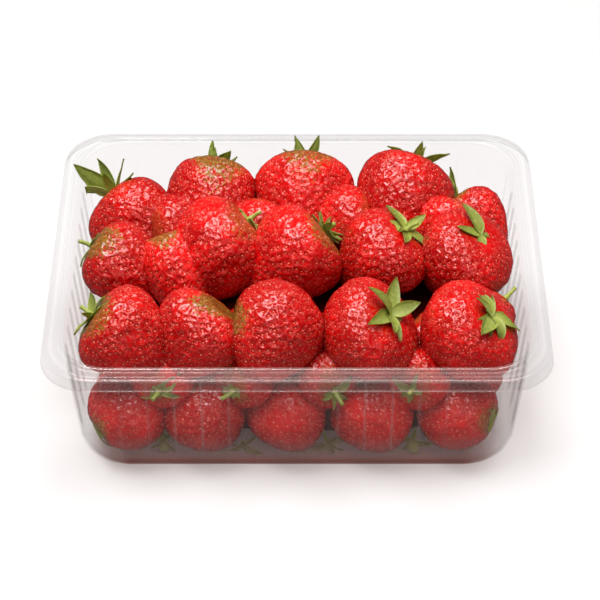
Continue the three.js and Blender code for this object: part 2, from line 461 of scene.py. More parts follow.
# %% Carry the section round the outline
def both_faces():
    """The section's other face, then the section itself, as one row of points."""
    along = unit(np.gradient(section, axis=0))
    other = section + SHEET * np.stack([along[:, 1], -along[:, 0]], 1)
    other[0] = section[0] + (SHEET, 0)
    flat = section[:, 1] < SHEET + 1e-6
    other[flat] = section[flat] - (0, SHEET)
    other[-2:] = section[-2:] - (0, SHEET)
    other[:, 1] = np.maximum(other[:, 1], 0)
    return np.concatenate([other[::-1], section])


def shell_crease(rows, pushes, front):
    """How strongly each point shows as a bend. The bead is softer at the front."""
    softened = 1 - (1 - BEAD_CREASE) * on_bead(rows)[:, None] * front
    ribs = rib_crests()[None] * pushes[:, None] / RIB_PROUD
    return np.maximum(section_crease(rows)[:, None] * softened,
                      ribs * (END_RIB_CREASE + (1 - END_RIB_CREASE) * front))


def tray_shell():
    rows = both_faces()
    pushes = np.array([rib_push(z) for _, z in rows])
    rings = [ring_points(inset, z, push) for (inset, z), push in zip(rows, pushes)]
    count = len(STATIONS)
    points = np.concatenate(rings)
    crease = shell_crease(rows, pushes, before_fruit(points).reshape(len(rows), count))
    row, column = np.meshgrid(np.arange(len(rows) - 1), np.arange(count), indexing="ij")
    a = row * count + column
    b = row * count + (column + 1) % count
    quads = np.stack([a, b, b + count, a + count], -1).reshape(-1, 4)
    middles = np.array([[0, 0, rows[0][1]], [0, 0, rows[-1][1]]])
    last = (len(rows) - 1) * count
    ring = np.arange(count)
    after = (ring + 1) % count
    low_cap = np.stack([np.full(count, len(points)), after, ring], 1)
    high_cap = np.stack([np.full(count, len(points) + 1), last + ring, last + after], 1)
    points = np.concatenate([points, middles])
    faces = np.concatenate([as_triangles(quads), low_cap, high_cap])
    crease = np.concatenate([crease.ravel(), [0, 0]])
    attributes = {"crease": crease, "fruit": before_fruit(points), "foot": under_fruit(points)}
    return points, faces, attributes


tray_points, tray_faces, tray_attributes = tray_shell()
tray = make_object("tray_sheet", tray_points, tray_faces, tray_attributes)
print(f"tray sheet of {len(tray_faces)} triangles")

# %% [markdown]
# ## One strawberry
# A berry is a ball drawn out to a blunt cone, with its points closer together
# on the side that shows. Its shoulder is widest about a third of the way down,
# and slow waves round it keep it from looking turned on a lathe. The seeds sit
# in a spiral, as they grow, and each one lies in a small pit. The pits are cut
# in the mesh, because their glossy edges give a strawberry its sparkle.


# %% Evenly spread directions
def geodesic_ball(parts):
    """A unit ball of 20 faces, each cut in parts x parts triangles."""
    golden = (1 + 5 ** 0.5) / 2
    corners = [(-1, golden, 0), (1, golden, 0), (-1, -golden, 0), (1, -golden, 0),
               (0, -1, golden), (0, 1, golden), (0, -1, -golden), (0, 1, -golden),
               (golden, 0, -1), (golden, 0, 1), (-golden, 0, -1), (-golden, 0, 1)]
    sides = [(0, 11, 5), (0, 5, 1), (0, 1, 7), (0, 7, 10), (0, 10, 11),
             (1, 5, 9), (5, 11, 4), (11, 10, 2), (10, 7, 6), (7, 1, 8),
             (3, 9, 4), (3, 4, 2), (3, 2, 6), (3, 6, 8), (3, 8, 9),
             (4, 9, 5), (2, 4, 11), (6, 2, 10), (8, 6, 7), (9, 8, 1)]
    corners = np.array(corners, float)
    points, faces, seen = [], [], {}
    for side in sides:
        a, b, c = corners[list(side)]
        index = {}
        for i in range(parts + 1):
            for j in range(parts + 1 - i):
                p = (a * (parts - i - j) + b * i + c * j) / parts
                p = p / np.linalg.norm(p)
                key = tuple(np.round(p, 6) + 0.0)
                if key not in seen:
                    seen[key] = len(points)
                    points.append(p)
                index[i, j] = seen[key]
        for i in range(parts):
            for j in range(parts - i):
                faces.append((index[i, j], index[i + 1, j], index[i, j + 1]))
                if i + j < parts - 1:
                    faces.append((index[i + 1, j], index[i + 1, j + 1], index[i, j + 1]))
    return np.array(points), np.array(faces)


FINE_BALL = geodesic_ball(36)
PLAIN_BALL = geodesic_ball(22)
COARSE_BALL = geodesic_ball(16)
SEED_BALL = (
    np.array([[1, 0, 0], [-1, 0, 0], [0, 1, 0], [0, -1, 0], [0, 0, 1], [0, 0, -1]], float),
    np.array([[0, 2, 4], [2, 1, 4], [1, 3, 4], [3, 0, 4],
              [2, 0, 5], [1, 2, 5], [3, 1, 5], [0, 3, 5]]),
)
print(f"a berry that shows well has {len(FINE_BALL[1])} triangles, a seed 8")


# %% The form of one berry
HOLLOW_WIDTH, HOLLOW_DEPTH = 0.34, 0.05
TWO_LOBES, THREE_LOBES = 0.02, 0.018
LUMPS = 0.035


def slow_waves(directions, rng, count, size):
    """A smooth random field over directions, from a few waves."""
    field = np.zeros(len(directions))
    for _ in range(count):
        wave = rng.normal(size=3) * 1.7
        field += np.sin(directions @ wave + rng.uniform(0, 2 * math.pi))
    return size * field / count ** 0.5


class BerryForm:
    """The smooth surface of one berry, before its pits. +Z is its stalk end."""

    def __init__(self, width, length, rng, tip=0.7, shoulder=0.62):
        self.radius, self.length = width / 2, length
        self.tip, self.shoulder = tip, shoulder
        self.oval = rng.uniform(0.95, 1.0)
        self.lean = rng.normal(0, 0.06) * length
        self.wave_seed = int(rng.integers(1 << 30))
        self.lobes = rng.uniform(0, 2 * math.pi, 2)

    def at(self, directions):
        s = (1 - directions[:, 2]) / 2
        turn = np.arctan2(directions[:, 1], directions[:, 0])
        profile = np.sin(np.pi * np.clip(s, 0, 1) ** self.shoulder) ** self.tip
        rng = np.random.default_rng(self.wave_seed)
        waves = slow_waves(directions, rng, 5, LUMPS)
        waves += slow_waves(directions * 3.5, rng, 8, LUMPS * 0.35)
        waves += slow_waves(directions * 8.0, rng, 10, LUMPS * 0.2)
        lobes = TWO_LOBES * np.cos(2 * turn + self.lobes[0])
        lobes += THREE_LOBES * np.cos(3 * turn + self.lobes[1])
        radius = self.radius * profile * (1 + waves + lobes)
        height = self.length * (0.5 ** (1 / self.shoulder) - s)
        hollow = np.exp(-((radius / (HOLLOW_WIDTH * self.radius)) ** 2)) * (s < 0.4)
        height = height - HOLLOW_DEPTH * self.length * hollow
        lean = self.lean * (s - 0.4) ** 2
        return np.stack([radius * np.cos(turn) + lean,
                         radius * np.sin(turn) * self.oval, height], 1)


GOLDEN_ANGLE = math.radians(137.508)


def spiral_directions(form, spacing, rng):
    """Directions of the seeds, spread evenly over the berry in a spiral."""
    s = np.linspace(0.0, 1.0, 400)
    meridian = form.at(np.stack([2 * np.sqrt(s * (1 - s)), 0 * s, 1 - 2 * s], 1))
    reach = np.hypot(meridian[:, 0], meridian[:, 1])
    steps = np.linalg.norm(np.diff(meridian, axis=0), axis=1)
    area = np.concatenate([[0], np.cumsum(2 * np.pi * 0.5 * (reach[1:] + reach[:-1]) * steps)])
    count = int(area[-1] / spacing ** 2)
    wanted = (np.arange(count) + 0.5 + rng.uniform(-1.2, 1.2, count)) / count * area[-1]
    chosen = np.interp(wanted, area, s)
    chosen = chosen[chosen > 0.035]
    turn = np.arange(len(chosen)) * GOLDEN_ANGLE + rng.normal(0, 0.1, len(chosen))
    ring = 2 * np.sqrt(chosen * (1 - chosen))
    return np.stack([ring * np.cos(turn), ring * np.sin(turn), 1 - 2 * chosen], 1)


# %% Cut the pits and lay the seeds in them
PIT_DEPTH = 0.28
PIT_WIDTH = 0.85
RIDGE_HEIGHT = 0.34
RIDGE_WIDTH = 0.9
SEED_SPACING = 2.9
SEED_SIZE = (0.34, 0.50, 0.22)
PALE_REACH, PALE_SMEAR = 0.05, 0.13
STALK_END = 0.08
DENSER = 0.4


def pale_shoulder(directions, towards, smear):
    """1 at the stalk, fading down the berry, and further down on one side."""
    s = (1 - directions[:, 2]) / 2
    turn = np.arctan2(directions[:, 1], directions[:, 0])
    facing = np.clip(np.cos(turn - math.atan2(towards[1], towards[0])), 0, 1)
    return 1 - s / (PALE_REACH + smear * facing ** 5)


def denser_towards(directions, towards):
    """The same ball with its points drawn closer together on one side."""
    drawn = directions + DENSER * towards / np.linalg.norm(towards)
    return unit(drawn)


def berry_with_pits(form, ball, rng, towards, smear):
    """The berry's surface with its relief, and the places of its seeds."""
    directions, faces = ball
    directions = denser_towards(directions, towards)
    smooth = form.at(directions)
    normals = point_normals(smooth, faces)
    seed_directions = spiral_directions(form, SEED_SPACING, rng)
    seeds = form.at(seed_directions)
    squared = ((smooth ** 2).sum(1)[:, None] - 2 * smooth @ seeds.T + (seeds ** 2).sum(1)[None])
    reach = np.sqrt(np.maximum(squared, 0)) / rng.uniform(0.8, 1.2, len(seeds))
    first, second = np.partition(reach, 1, axis=1)[:, :2].T
    pit = np.exp(-(first / PIT_WIDTH) ** 2)
    ridge = np.exp(-((second - first) / RIDGE_WIDTH) ** 2)
    s = (1 - directions[:, 2]) / 2
    shown = fade(s, 0, STALK_END)
    raised = (RIDGE_HEIGHT * ridge - PIT_DEPTH * pit) * shown
    points = smooth + normals * raised[:, None]
    pale = pale_shoulder(directions, towards, smear)
    attributes = {"pit": pit * shown, "reach": first, "pale": pale}
    return points, faces, attributes, seeds, seed_directions


def seeds_in_pits(form, seeds, seed_directions, rng):
    """A small flattened ball for each seed, lying along the berry."""
    down = unit(seed_directions + (0, 0, -1e-3))
    along = unit(form.at(down) - seeds)
    side = unit(np.cross(seeds, along))
    out = np.cross(along, side)
    ball, faces = SEED_BALL
    size = np.array(SEED_SIZE) * rng.uniform(0.85, 1.15, (len(seeds), 1))
    middle = seeds - out * PIT_DEPTH * 0.6
    points = (middle[:, None]
              + ball[None, :, 0:1] * side[:, None] * size[:, None, 0:1]
              + ball[None, :, 1:2] * along[:, None] * size[:, None, 1:2]
              + ball[None, :, 2:3] * out[:, None] * size[:, None, 2:3])
    starts = np.arange(len(seeds))[:, None, None] * len(ball)
    return points.reshape(-1, 3), (faces[None] + starts).reshape(-1, 3)


# %% [markdown]
# ## Leaves and stalk
# The green crown is a ring of pointed leaves with a short stalk in the
# middle. Each leaf is a narrow sheet with real thickness, folded a little
# along its rib and bent along its length, since a flat leaf looks cut from
# paper.


# %% One leaf and one stalk
LEAF_THICKNESS = 0.3
BROAD_LEAF, NARROW_LEAF = (0.36, 0.5), (0.2, 0.3)
STALK_RADIUS = 0.75


def leaf(length, width, lift, bend, turn, rng, rows=9, columns=5):
    """A pointed leaf from the middle outward. Angles are in radians."""
    t = np.linspace(0, 1, rows)
    half = width / 2 * np.sin(np.pi * t ** 0.72) ** 0.85 * (1 - 0.15 * t)
    half = np.maximum(half, width * 0.06 * (1 - t) + 0.03)
    angle = lift + bend * t
    step = length / (rows - 1)
    reach = np.concatenate([[0], np.cumsum(np.cos(angle[1:]) * step)])
    rise = np.concatenate([[0], np.cumsum(np.sin(angle[1:]) * step)])
    across = np.linspace(-1, 1, columns)
    fold = rng.uniform(0.1, 0.3)
    twist = rng.normal(0, 0.25)
    side = half[:, None] * across[None]
    normal_reach, normal_rise = -np.sin(angle), np.cos(angle)
    raised = fold * np.abs(side) + twist * t[:, None] * side
    raised += 0.25 * np.sin(across[None] * 5 + t[:, None] * 7 + turn) * t[:, None]
    top = np.stack([
        reach[:, None] + normal_reach[:, None] * raised,
        side,
        rise[:, None] + normal_rise[:, None] * raised,
    ], -1)
    down = np.stack([-normal_reach, 0 * t, -normal_rise], -1)[:, None] * LEAF_THICKNESS
    points = np.concatenate([top.reshape(-1, 3), (top + down).reshape(-1, 3)])
    index = np.arange(rows * columns).reshape(rows, columns)
    under = index + rows * columns
    quads = []
    for grid, flip in ((index, False), (under, True)):
        a, b, c, d = grid[:-1, :-1], grid[1:, :-1], grid[1:, 1:], grid[:-1, 1:]
        quad = np.stack([a, b, c, d], -1).reshape(-1, 4)
        quads.append(quad[:, ::-1] if flip else quad)
    edge = np.concatenate([index[0, ::-1], index[1:, 0], index[-1, 1:], index[-2:0:-1, -1]])
    below = edge + rows * columns
    quads.append(np.stack([np.roll(edge, -1), edge, below, np.roll(below, -1)], 1)[:, ::-1])
    faces = as_triangles(np.concatenate(quads))
    cos, sin = math.cos(turn), math.sin(turn)
    turned = points @ np.array([[cos, sin, 0], [-sin, cos, 0], [0, 0, 1]])
    shade = np.tile(np.repeat(t, columns), 2)
    return turned, faces, {"along": shade}


def stalk(length, radius, bend, rows=7, sides=8):
    """A short bent stalk, swollen where it meets the berry."""
    t = np.linspace(0, 1, rows)
    angle = bend * t
    x = np.concatenate([[0], np.cumsum(np.sin(angle[1:]))]) * length / (rows - 1)
    z = np.concatenate([[0], np.cumsum(np.cos(angle[1:]))]) * length / (rows - 1)
    size = radius * (1 + 1.4 * np.exp(-6 * t) + 0.15 * (t > 0.95))
    around = np.linspace(0, 2 * math.pi, sides, endpoint=False)
    rings = np.stack([
        x[:, None] + size[:, None] * np.cos(around)[None] * np.cos(angle)[:, None],
        size[:, None] * np.sin(around)[None] + 0 * x[:, None],
        z[:, None] - size[:, None] * np.cos(around)[None] * np.sin(angle)[:, None],
    ], -1)
    points = np.concatenate([rings.reshape(-1, 3), [[x[0], 0, z[0]], [x[-1], 0, z[-1]]]])
    index = np.arange(rows * sides).reshape(rows, sides)
    after = np.roll(index, -1, 1)
    quads = np.stack([index[:-1], after[:-1], after[1:], index[1:]], -1).reshape(-1, 4)
    low, high = len(points) - 2, len(points) - 1
    caps = [np.stack([np.full(sides, low), after[0], index[0]], 1),
            np.stack([np.full(sides, high), index[-1], after[-1]], 1)]
    faces = np.concatenate([as_triangles(quads), *caps])
    shade = np.concatenate([np.repeat(t, sides), [0, 1]]) * 0.3
    return points, faces, {"along": shade}


# %% A whole crown, in the berry's own directions
def crown(form, rng, leaves, length, lift, bend, stalk_length):
    """A ring of leaves, broad and narrow in turn, and a stalk if it has a length."""
    foot = form.at(np.array([[1e-4, 0, 1.0]]))[0]
    parts = []
    start = rng.uniform(0, 2 * math.pi)
    for i in range(leaves):
        turn = start + (i + rng.uniform(-0.3, 0.3)) * 2 * math.pi / leaves
        broad = i % 2 == 0
        size = length * rng.uniform(0.8, 1.15) * (1.0 if broad else 0.75)
        width = size * rng.uniform(*(BROAD_LEAF if broad else NARROW_LEAF))
        parts.append(leaf(size, width, lift + rng.normal(0, 0.22),
                          bend + rng.normal(0, 0.4), turn, rng))
    if stalk_length:
        parts.append(stalk(stalk_length, STALK_RADIUS, rng.uniform(-0.9, 0.9)))
    points, faces, attributes = join_parts(parts)
    return points + foot + (0, 0, 0.5), faces, attributes


# %% [markdown]
# ## Where the berries lie
# Each berry of the top layer has its own place, size and direction, as they
# were laid by hand. The direction is where its crown points: degrees round
# from +X, and degrees above level. Small berries fill the gaps between the
# rows and the layers, and the hidden layer below repeats a grid with small
# random shifts. It could be a physics drop, but then no berry would lie where
# it should. A berry that would pass the wall or the base is moved back.

# %% The top layer, row by row
def berry(middle, width, length, crown, green, **more):
    """Its middle and size in mm, where its crown points, how green it is (0 to 1)."""
    return dict(at=middle, width=width, length=length, crown=crown, green=green, **more)


TOP_ROWS = {
    "front": [
        berry((-66.3, -40, 52.3), 36, 37, (164, 30), 0.9, lift=0.3, bend=-0.3, leaf=13),
        berry((-34.7, -39, 52.5), 33.5, 38, (29, 44), 1.0, leaves=0, tip=0.9),
        berry((-9.5, -40.5, 53.5), 37.5, 37, (176, 14), 1.0, leaves=0, tip=0.55, shoulder=0.85),
        berry((27.5, -39.5, 53.5), 38.5, 38, (-13, 50), 0.0, leaves=11, lift=0.45, bend=-0.6,
              leaf=15, stalk=0.0),
        berry((64.8, -39.5, 52.5), 38, 38, (-14, 50), 0.0, leaves=12, lift=0.2, bend=-0.7,
              leaf=14, stalk=0.0),
    ],
    "middle": [
        berry((-69.5, 2, 51.5), 31, 35, (158, 22), 1.0, leaves=7, leaf=9, smear=0.3),
        berry((-47, -2, 52.5), 25.5, 42, (118, 46), 1.0, leaves=5, leaf=6, stalk=0.0, tip=0.72),
        berry((-28.7, 7, 55.2), 39, 47, (27, 34), 0.5, leaf=10),
        berry((1.6, 4.5, 54.5), 38.5, 37, (28, 27), 0.9, tip=0.6, leaves=13, lift=0.5,
              bend=0.0, leaf=11),
        berry((34.7, 4, 55), 35, 38, (8, 52), 0.0, leaves=10, lift=0.35, bend=-0.8, leaf=13),
        berry((65.5, 3, 54), 37, 38, (-13, 62), 0.0, leaves=10, lift=0.0, bend=-0.9, leaf=13,
              stalk=0.0),
    ],
    "back": [
        # This crown takes the lightest green, painted light for leaves seen from their shaded
        # side.
        berry((-65.5, 33, 47.5), 36, 38, (133, 26), 0.2, lift=0.75, bend=0.1, leaf=19,
              tip=0.6, fresh=1.4),
        berry((-33.5, 40.5, 53), 37, 38, (84, 20), 1.0, smear=0.5, lift=0.7, bend=0.1, leaf=14,
              tip=0.6),
        berry((2.3, 41, 55.5), 38.5, 38, (90, 20), 0.9, smear=0.42, lift=0.7, bend=0.1,
              leaf=13, tip=0.6),
        berry((42.5, 39.5, 55.5), 38.5, 39, (70, 20), 0.1, lift=0.6, bend=0.1, leaf=14, tip=0.6),
        berry((73, 33, 48), 26, 30, (131, 22), 1.0, lift=0.8, bend=0.1, leaf=16),
    ],
}

# %% Small berries that fill the gaps between the rows
BETWEEN = [
    berry((-50, -47.5, 35), 24, 25, (-100, 5), 0.4, leaf=10),
    berry((-20, -47.5, 35), 24, 25, (-120, 0), 0.6, leaf=11),
    berry((11.5, -47.5, 35), 24, 25, (-70, 0), 0.5, leaf=11),
    berry((45, -47.5, 35), 25, 25, (-110, 5), 0.4, leaf=10),
    berry((75, -19, 44), 17, 20, (40, 30), 0.6, leaf=6),
    berry((-50, 23, 50), 28, 29, (200, 10), 0.3, leaves=0),
    berry((-15, 23, 51), 26, 28, (80, 20), 0.3, leaves=0),
    berry((21.5, 24.5, 53.5), 28, 29, (10, 20), 0.3, leaves=0),
    berry((60, 24, 51.5), 30, 30, (60, 40), 0.3, leaves=0),
]

# %% Berries sunk between the two layers, hardly seen from above
SUNKEN = [(-52, -21, 30), (-18, -21, 31), (15, -21, 30), (49, -21, 31),
          (-66, -25, 17), (67, -26, 17), (-66, 20, 18), (66, 20, 18)]
BETWEEN += [berry(place, 27, 28, (3 * place[0], 30), 0.5, leaves=0, ball=COARSE_BALL)
            for place in SUNKEN]

# %% The lower layer, as a loose grid
LOWER_COLUMNS = (-64, -35, -4, 29, 62)
LOWER_ROWS = (-4, 42)
LOWER_WIDTH = 34.5
LOWER_HEIGHT = 19.5
LOWER_FRONT = [
    berry((-64, -46, 18), 31, 33, (-150, -20), 0.9, leaf=9),
    berry((-35.3, -46.8, 18.2), 32, 33, (150, 50), 0.6, leaf=13),
    berry((-4.2, -46.8, 18.2), 31.5, 33, (140, 52), 0.7, leaf=13),
    berry((28, -46.8, 18.2), 32.5, 33, (140, 55), 0.7, leaf=13),
    berry((60.8, -46, 18.2), 32, 33, (-25, 0), 0.8, leaf=10),
]
LOOSE_CROWNS = ((-50, -48, 7), (-20, -49, 6), (12, -49, 6), (44, -48, 7))


def lower_layer():
    """The five berries behind the front wall, then the hidden grid."""
    rng = np.random.default_rng(11)
    berries = [dict(front, tip=0.55, shoulder=0.9, stalk=0.0) for front in LOWER_FRONT]
    for y in LOWER_ROWS:
        for x in LOWER_COLUMNS:
            berries.append(berry(
                (x + rng.uniform(-1, 1), y, LOWER_HEIGHT),
                LOWER_WIDTH * rng.uniform(0.96, 1.02), LOWER_WIDTH * rng.uniform(1.0, 1.08),
                (rng.uniform(0, 360), rng.uniform(-40, 50)), rng.uniform(0.1, 0.9),
                leaf=9.0, stalk=0.0, ball=COARSE_BALL))
    return berries


# %% Turn a berry, and keep it inside the tray
WALL_CLEARANCE, BASE_CLEARANCE = 0.6, 0.4


def turn_to(azimuth, elevation, roll):
    """A rotation that carries +Z to a direction, after a roll about +Z."""
    az, el = math.radians(azimuth), math.radians(elevation)
    z = np.array([math.cos(el) * math.cos(az), math.cos(el) * math.sin(az), math.sin(el)])
    x = np.cross([0.0, 0.0, 1.0], z)
    x = x / np.linalg.norm(x) if np.linalg.norm(x) > 1e-6 else np.array([1.0, 0, 0])
    y = np.cross(z, x)
    cos, sin = math.cos(roll), math.sin(roll)
    return np.stack([x * cos + y * sin, y * cos - x * sin, z])


def kept_inside(points):
    """The points, with those past the wall or the base drawn back to it."""
    x, y, z = points.T.copy()
    z = np.maximum(z, SHEET + PANEL_RISE + BASE_CLEARANCE)
    turned = np.clip(1 - (z - SHEET) / BASE_FILLET, 0, 1)
    inset = wall_inset(z) + SHEET + WALL_CLEARANCE
    inset += BASE_FILLET * (1 - np.sqrt(1 - turned ** 2))
    room_x, room_y = TRAY_LENGTH / 2 - inset, TRAY_WIDTH / 2 - inset
    radius = CORNER_RADIUS - CORNER_TAPER * inset
    past_x, past_y = np.abs(x) - room_x + radius, np.abs(y) - room_y + radius
    reach = np.where((past_x > 0) & (past_y > 0), np.hypot(past_x, past_y), 0.0)
    shrink = 1 - radius / np.maximum(reach, radius)
    low = z < RIM_HEIGHT - MOUTH_DROP
    x = np.where(low, np.clip(x - np.sign(x) * past_x * shrink, -room_x, room_x), x)
    y = np.where(low, np.clip(y - np.sign(y) * past_y * shrink, -room_y, room_y), y)
    return np.stack([x, y, z], 1)


def shift_inside(points):
    """How far a whole berry moves so that none of it passes the wall or the base."""
    drawn = kept_inside(points) - points
    return drawn[np.abs(drawn).argmax(0), np.arange(3)]


# %% Build a layer of berries, with their seeds and crowns
SHOWN_SIDE = np.array([0.0, -0.6, 0.8])
USUAL = dict(tip=0.7, shoulder=0.62, smear=PALE_SMEAR,
             leaves=9, leaf=11.5, lift=0.15, bend=-0.9, stalk=6.0)


def build_layer(berries, ball, seed):
    """The parts of every berry. SHOWN_SIDE has the finer mesh and the pale smear."""
    flesh, seeds, crowns = [], [], []
    for i, given in enumerate(berries):
        spec = {**USUAL, "ball": ball, **given}
        rng = np.random.default_rng(seed * 100 + i)
        form = BerryForm(spec["width"], spec["length"], rng, spec["tip"], spec["shoulder"])
        turn = turn_to(*spec["crown"], rng.uniform(0, 2 * math.pi))
        towards = turn @ SHOWN_SIDE + rng.normal(0, 0.2, 3)
        points, faces, attributes, places, directions = berry_with_pits(
            form, spec["ball"], rng, towards, spec["smear"])
        attributes["green"] = np.full(len(points), spec["green"])
        attributes["tone"] = np.full(len(points), rng.uniform(0, 1))
        place = shift_inside(points @ turn + spec["at"]) + spec["at"]
        flesh.append((points @ turn + place, faces, attributes))
        seed_points, seed_faces = seeds_in_pits(form, places, directions, rng)
        tones = np.repeat(rng.uniform(0, 1, len(places)), len(SEED_BALL[0]))
        seeds.append((seed_points @ turn + place, seed_faces, {"tone": tones}))
        if not spec["leaves"]:
            continue
        points, faces, attributes = crown(form, rng, spec["leaves"], spec["leaf"],
                                          spec["lift"], spec["bend"], spec["stalk"])
        # A crown may take a set tone, used as painted light; the others vary at random.
        attributes["tone"] = np.full(len(points), spec.get("fresh", rng.uniform(0, 1)))
        crowns.append((points @ turn + place, faces, attributes))
    return flesh, seeds, crowns


def loose_crowns():
    """Crowns without a berry, that lie on the base behind the front wall."""
    parts = []
    for number, place in enumerate(LOOSE_CROWNS):
        rng = np.random.default_rng(950 + number)
        form = BerryForm(8, 8, rng)
        points, faces, attributes = crown(form, rng, leaves=7, length=9.0, lift=0.5,
                                          bend=-0.5, stalk_length=0.0)
        attributes["tone"] = np.full(len(points), rng.uniform(0, 1))
        parts.append((points @ turn_to(-90, -10, 0.0) + place, faces, attributes))
    return parts


# %% Make the pieces: berries by row, seeds by layer, and all crowns as one
LAYERS = [(name, berries, FINE_BALL, number + 1)
          for number, (name, berries) in enumerate(TOP_ROWS.items())]
LAYERS += [("between", BETWEEN, PLAIN_BALL, 8), ("lower", lower_layer(), PLAIN_BALL, 9)]
berry_pieces, crown_parts = [], []
seed_parts = {"top": [], "lower": []}
for name, berries, ball, number in LAYERS:
    flesh, seeds, crowns = build_layer(berries, ball, number)
    berry_pieces.append(make_object(f"berries_{name}", *join_parts(flesh)))
    seed_parts["top" if name in TOP_ROWS else "lower"] += seeds
    crown_parts += crowns
crown_parts = [(kept_inside(points), faces, attributes)
               for points, faces, attributes in crown_parts + loose_crowns()]
seed_pieces = [make_object(f"seeds_{layer}", *join_parts(parts))
               for layer, parts in seed_parts.items()]
crown_piece = make_object("crowns", *join_parts(crown_parts))
for piece in (*berry_pieces, *seed_pieces, crown_piece):
    print(f"{piece.name}: {len(piece.data.polygons)} triangles")

# %% [markdown]
# ## The core
# Between the two layers nothing can be seen but darkness and a little red. A
# lumpy core stands there, smaller than the heap, so that no light comes straight
# through between the berries. Its near-black red is painted shade, the darkness
# of the gaps.


# %% The core
CORE_HALF_SIZE = np.array([70.0, 50.0, 16.5])
CORE_HEIGHT = 20
CORE_BOXINESS = 0.5


def lumpy_core():
    """A ball drawn out towards a box, with slow lumps."""
    directions, faces = geodesic_ball(12)
    rng = np.random.default_rng(5)
    boxy = np.sign(directions) * np.abs(directions) ** CORE_BOXINESS
    lumps = 1 + slow_waves(directions * 3, rng, 6, 0.03)
    points = boxy * CORE_HALF_SIZE * lumps[:, None]
    points[:, 2] += CORE_HEIGHT
    return points, faces


core = make_object("core", *lumpy_core())
print(f"core of {len(core.data.polygons)} triangles")

# %% [markdown]
# ## Finishes
# Strawberry flesh is a deep clear red under a wet skin. It changes between a bright and a
# deep red in soft patches, and near the crown it pales to a greenish yellow where the sun
# did not reach. Thin lines, and a ring round each seed, are raised by a bump, since they
# are too fine for the mesh. The lines are also painted a pale pink, and the rings a little:
# a painted highlight that stands in for the wet glints along them. A little light passes
# under the skin, and a smooth coat gives the highlights.

# %% Flesh
DEEP_RED = (0.33, 0.001, 0.001)
BRIGHT_RED = (0.54, 0.002, 0.002)
PIT_RED = (0.42, 0.003, 0.003)
# A pale pink painted along the fine lines of the skin: a painted highlight.
PAINTED_GLINT_PINK = (0.90, 0.17, 0.12)
UNRIPE = (0.20, 0.135, 0.018)
UNRIPE_DARK = (0.08, 0.05, 0.006)


def flesh_finish():
    shader = Shader("berry_flesh")
    patches = shader.noise(90.0, 3.0)
    tone = shader.attribute("tone")
    pit = shader.attribute("pit")
    depth = shader.between(patches + 0.25 * tone, 0.35, 0.75)
    red = shader.blend(depth, BRIGHT_RED, DEEP_RED)
    red = shader.blend(pit * 0.25, red, PIT_RED)
    speckle = shader.noise(700.0, 4.0, 0.6)
    ragged = shader.attribute("pale") + 2.6 * (speckle - 0.5)
    unripe = shader.between(ragged, 0.0, 0.5) * shader.attribute("green")
    olive = shader.blend(shader.between(speckle, 0.4, 0.65), UNRIPE_DARK, UNRIPE)
    glint_lines = (1.0 - (2.0 * shader.noise(430.0, 1.0) - 1.0).size()) ** 26.0
    glint_rings = (1.0 - 3.0 * (shader.attribute("reach") - 1.1).size()).clamped()
    net = 0.6 * glint_lines + 0.35 * glint_rings
    # Painted highlight: the raised lines, and a little the rings round the seeds, are painted
    # pale pink.
    red = shader.blend(0.3 * glint_lines + 0.05 * glint_rings, red, PAINTED_GLINT_PINK)
    return shader.finish({
        "Base Color": shader.blend(unripe * 0.8, red, olive),
        "Roughness": 0.09 + 0.06 * patches,
        "Normal": shader.bump(net, 0.0004, 0.6),
        "Subsurface Weight": 0.1,
        "Subsurface Radius": (1.0, 0.1, 0.06),
        "Subsurface Scale": 0.0012,
        "Coat Weight": 0.5,
        "Coat Roughness": 0.05,
        "IOR": 1.4,
        "Specular IOR Level": 0.35,
    })


flesh_material = flesh_finish()
for piece in berry_pieces:
    piece.data.materials.append(flesh_material)


# %% Seeds, leaves and core
SEED_PALE, SEED_PINK, SEED_DARK = (0.88, 0.24, 0.15), (0.78, 0.13, 0.08), (0.60, 0.12, 0.05)
LEAF_OLD, LEAF_YOUNG = (0.14, 0.165, 0.018), (0.25, 0.29, 0.045)
LEAF_TIP, LEAF_VEIN = (0.11, 0.14, 0.014), (0.30, 0.30, 0.08)
# The core's near-black reds are painted shade for the gaps between the berries.
CORE_SHADE_RED, CORE_SHADE_DARK = (0.05, 0.003, 0.003), (0.02, 0.001, 0.001)


def seed_finish():
    shader = Shader("berry_seeds")
    tone = shader.attribute("tone")
    colour = shader.blend(tone, SEED_PALE, SEED_PINK)
    speckle = shader.noise(2500.0, 2.0)
    return shader.finish({
        "Base Color": shader.blend(speckle * 0.4, colour, SEED_DARK),
        "Roughness": 0.15 + 0.15 * speckle,
    })


def leaf_finish():
    shader = Shader("berry_leaves")
    along = shader.attribute("along")
    tone = shader.attribute("tone")
    veins = shader.noise(700.0, 4.0, 0.6)
    colour = shader.blend(tone, LEAF_OLD, LEAF_YOUNG)
    colour = shader.blend(shader.between(along, 0.1, 0.9), colour, LEAF_TIP)
    colour = shader.blend(shader.between(veins, 0.45, 0.75) * 0.7, colour, LEAF_VEIN)
    return shader.finish({
        "Base Color": colour,
        "Roughness": 0.45 + 0.2 * veins,
        "Normal": shader.bump(veins, 0.0002, 0.5),
        "Subsurface Weight": 0.4,
        "Subsurface Radius": (0.7, 0.8, 0.1),
        "Subsurface Scale": 0.002,
    })


def core_shade_finish():
    shader = Shader("heap_core_shade")
    patches = shader.noise(60.0, 3.0)
    return shader.finish({
        # Painted shade: a near-black red in place of the darkness between the berries.
        "Base Color": shader.blend(patches, CORE_SHADE_RED, CORE_SHADE_DARK),
        "Roughness": 0.8 + 0.2 * patches,
        "Specular IOR Level": 0.0,
    })


